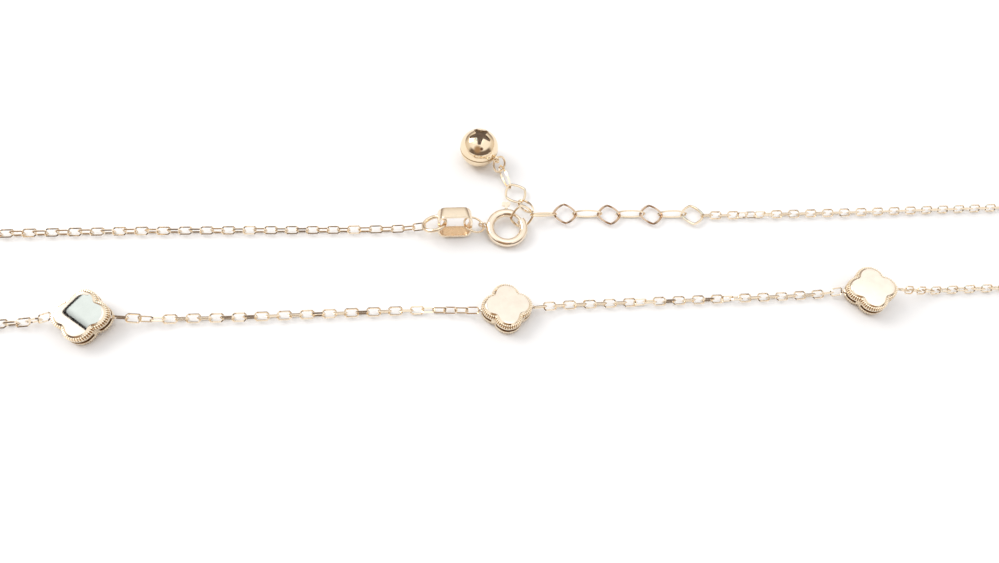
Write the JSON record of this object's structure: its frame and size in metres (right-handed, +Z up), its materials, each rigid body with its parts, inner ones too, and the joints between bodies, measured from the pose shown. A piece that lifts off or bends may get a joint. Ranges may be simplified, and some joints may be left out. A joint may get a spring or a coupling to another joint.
{
  "type": "gold necklace with quatrefoil stations",
  "caption": "Fine gold trace-chain necklace with quatrefoil stations, spring-ring clasp and a square-link extender ending in a ball, laid closed on a table.",
  "frame": {"origin": "on the table, under the middle of the laid-out loop", "axes": "+X along the two strands, towards the extender; +Y from the stations' strand to the clasp's strand; +Z up"},
  "size_m": [0.2152, 0.03, 0.0051],
  "materials": {
    "chain": "bright yellow gold, cut links with flat facets",
    "station": "mirror-polished yellow gold face, milled rims",
    "ring_wire": "bright yellow gold wire",
    "tag": "bright yellow gold band with fine rolling lines",
    "clasp": "polished yellow gold tube",
    "extender": "bright yellow gold wire",
    "ball": "mirror-polished yellow gold shell"
  },
  "bodies": {
    "root": {"chain_tag_side": "chain", "chain_left_centre": "chain", "chain_centre_right": "chain", "chain_extender_side": "chain", "station_left": "station", "station_centre": "station", "station_right": "station", "tag_jump_ring": "ring_wire", "tag_link": "tag", "clasp_jump_ring": "ring_wire", "clasp_body": "clasp", "rhombus_0": "extender", "rhombus_1": "extender", "rhombus_2": "extender", "rhombus_3": "extender", "rhombus_4": "extender", "rhombus_5": "extender", "oval_0": "extender", "oval_a": "extender", "oval_b": "extender", "oval_c": "extender", "oval_d": "extender", "oval_e": "extender", "end_ball": "ball", "ball_jump_ring": "ring_wire"},
    "bolt": {"clasp_bolt": "clasp"}
  },
  "joints": [
    {"name": "clasp_bolt_turn", "type": "hinge", "parent": "root", "child": "bolt", "pos_m": [0.0005, 0.00008, 0.00097], "axis": [-0.0347, -0.1132, 0.993], "range_deg": [0, 48], "stiffness_Nm_per_rad": 0.0005, "springref_deg": -28.65}
  ]
}
